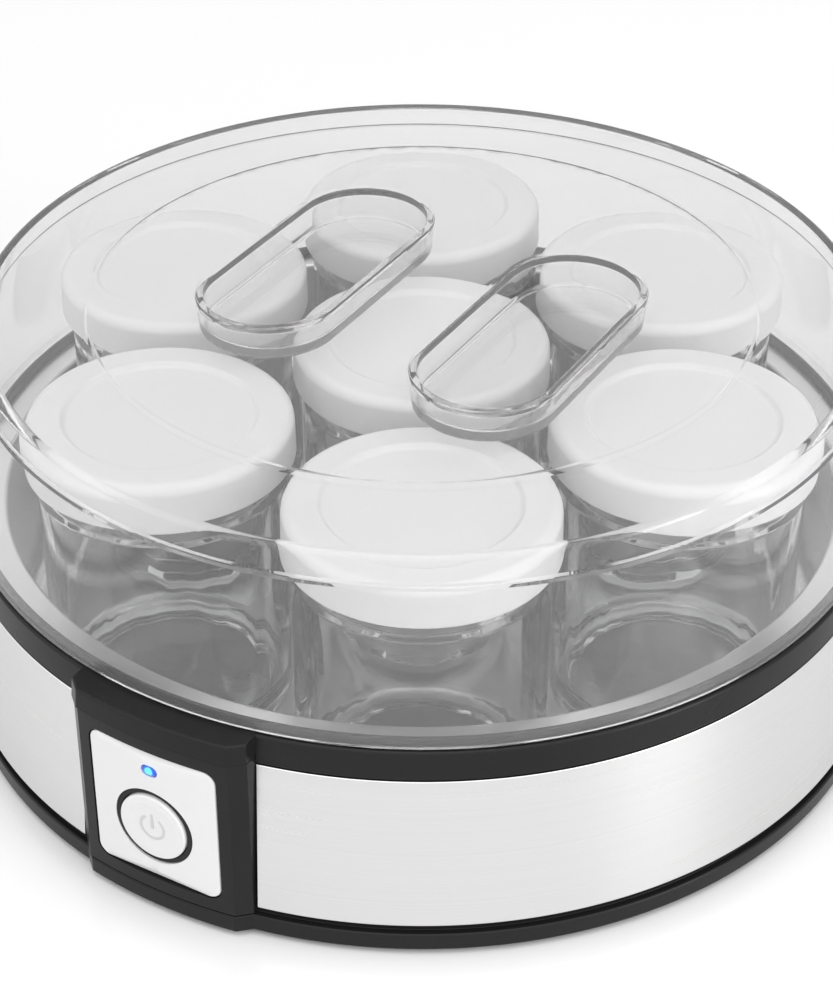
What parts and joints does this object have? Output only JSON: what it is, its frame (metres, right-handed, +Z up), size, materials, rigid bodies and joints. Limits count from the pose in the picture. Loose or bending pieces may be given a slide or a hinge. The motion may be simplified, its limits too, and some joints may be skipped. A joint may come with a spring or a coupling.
{
  "type": "yogurt maker",
  "caption": "Round countertop yogurt maker: heated base with a steel band and push button, clear lift-off lid with finger pockets, and capped glass jars.",
  "frame": {"origin": "centre of the bounding box on the surface that the feet stand on", "axes": "+Z up, -Y towards the control panel, +X to the right seen from the front"},
  "size_m": [0.25, 0.2556, 0.1116],
  "materials": {
    "black_plastic": "satin moulded black plastic",
    "white_plastic": "smooth white plastic",
    "brushed_steel": "fine brushing round the band",
    "tub_metal": "satin pressed metal",
    "clear_plastic": "clear polished plastic",
    "glass": "clear pressed glass",
    "rubber": "matt black rubber",
    "silicone": "matt grey silicone",
    "board": "green circuit board",
    "indicator": "blue translucent plastic",
    "zinc_screw": "zinc plated steel",
    "heater": "dull metal sheath"
  },
  "bodies": {
    "base": {"lower_base": "black_plastic", "foot_1": "rubber", "foot_2": "rubber", "foot_3": "rubber", "foot_4": "rubber", "base_screw_1": "zinc_screw", "base_screw_2": "zinc_screw", "base_screw_3": "zinc_screw", "base_screw_4": "zinc_screw", "steel_band": "brushed_steel", "upper_ring": "black_plastic", "heating_tub": "tub_metal", "tub_seal": "silicone", "heating_element": "heater", "heat_shield": "tub_metal", "thermostat": "heater", "thermal_fuse": "zinc_screw", "element_lead_left": "silicone", "element_lead_right": "silicone", "cord_inlet": "rubber", "panel_housing": "black_plastic", "fascia_plate": "white_plastic", "button_surround": "black_plastic", "indicator_lens": "indicator", "indicator_lamp": "indicator", "control_board": "board", "switch_body": "black_plastic"},
    "button": {"power_button": "white_plastic", "switch_plunger": "white_plastic"},
    "lid": {"lid": "clear_plastic"},
    "jar_1": {"jar_1": "glass"},
    "jar_cap_1": {"jar_cap_1": "white_plastic"},
    "jar_2": {"jar_2": "glass"},
    "jar_cap_2": {"jar_cap_2": "white_plastic"},
    "jar_3": {"jar_3": "glass"},
    "jar_cap_3": {"jar_cap_3": "white_plastic"},
    "jar_4": {"jar_4": "glass"},
    "jar_cap_4": {"jar_cap_4": "white_plastic"},
    "jar_5": {"jar_5": "glass"},
    "jar_cap_5": {"jar_cap_5": "white_plastic"},
    "jar_6": {"jar_6": "glass"},
    "jar_cap_6": {"jar_cap_6": "white_plastic"},
    "jar_7": {"jar_7": "glass"},
    "jar_cap_7": {"jar_cap_7": "white_plastic"}
  },
  "joints": [
    {"name": "lid_lift", "type": "slide", "parent": "base", "child": "lid", "axis": [0, 0, 1], "range_m": [0, 0.12]},
    {"name": "button_press", "type": "slide", "parent": "base", "child": "button", "axis": [0, 1, 0], "range_m": [0, 0.0012], "stiffness_N_per_m": 1500},
    {"name": "jar_1_lift", "type": "slide", "parent": "base", "child": "jar_1", "axis": [0, 0, 1], "range_m": [0, 0.004]},
    {"name": "cap_1_twist", "type": "hinge", "parent": "jar_1", "child": "jar_cap_1", "pos_m": [0, 0, 0.0853], "axis": [0, 0, 1], "range_deg": [0, 90]},
    {"name": "jar_2_lift", "type": "slide", "parent": "base", "child": "jar_2", "axis": [0, 0, 1], "range_m": [0, 0.004]},
    {"name": "cap_2_twist", "type": "hinge", "parent": "jar_2", "child": "jar_cap_2", "pos_m": [0.0745, 0, 0.0853], "axis": [0, 0, 1], "range_deg": [0, 90]},
    {"name": "jar_3_lift", "type": "slide", "parent": "base", "child": "jar_3", "axis": [0, 0, 1], "range_m": [0, 0.004]},
    {"name": "cap_3_twist", "type": "hinge", "parent": "jar_3", "child": "jar_cap_3", "pos_m": [0.03725, 0.06452, 0.0853], "axis": [0, 0, 1], "range_deg": [0, 90]},
    {"name": "jar_4_lift", "type": "slide", "parent": "base", "child": "jar_4", "axis": [0, 0, 1], "range_m": [0, 0.004]},
    {"name": "cap_4_twist", "type": "hinge", "parent": "jar_4", "child": "jar_cap_4", "pos_m": [-0.03725, 0.06452, 0.0853], "axis": [0, 0, 1], "range_deg": [0, 90]},
    {"name": "jar_5_lift", "type": "slide", "parent": "base", "child": "jar_5", "axis": [0, 0, 1], "range_m": [0, 0.004]},
    {"name": "cap_5_twist", "type": "hinge", "parent": "jar_5", "child": "jar_cap_5", "pos_m": [-0.0745, 0, 0.0853], "axis": [0, 0, 1], "range_deg": [0, 90]},
    {"name": "jar_6_lift", "type": "slide", "parent": "base", "child": "jar_6", "axis": [0, 0, 1], "range_m": [0, 0.004]},
    {"name": "cap_6_twist", "type": "hinge", "parent": "jar_6", "child": "jar_cap_6", "pos_m": [-0.03725, -0.06452, 0.0853], "axis": [0, 0, 1], "range_deg": [0, 90]},
    {"name": "jar_7_lift", "type": "slide", "parent": "base", "child": "jar_7", "axis": [0, 0, 1], "range_m": [0, 0.004]},
    {"name": "cap_7_twist", "type": "hinge", "parent": "jar_7", "child": "jar_cap_7", "pos_m": [0.03725, -0.06452, 0.0853], "axis": [0, 0, 1], "range_deg": [0, 90]}
  ]
}
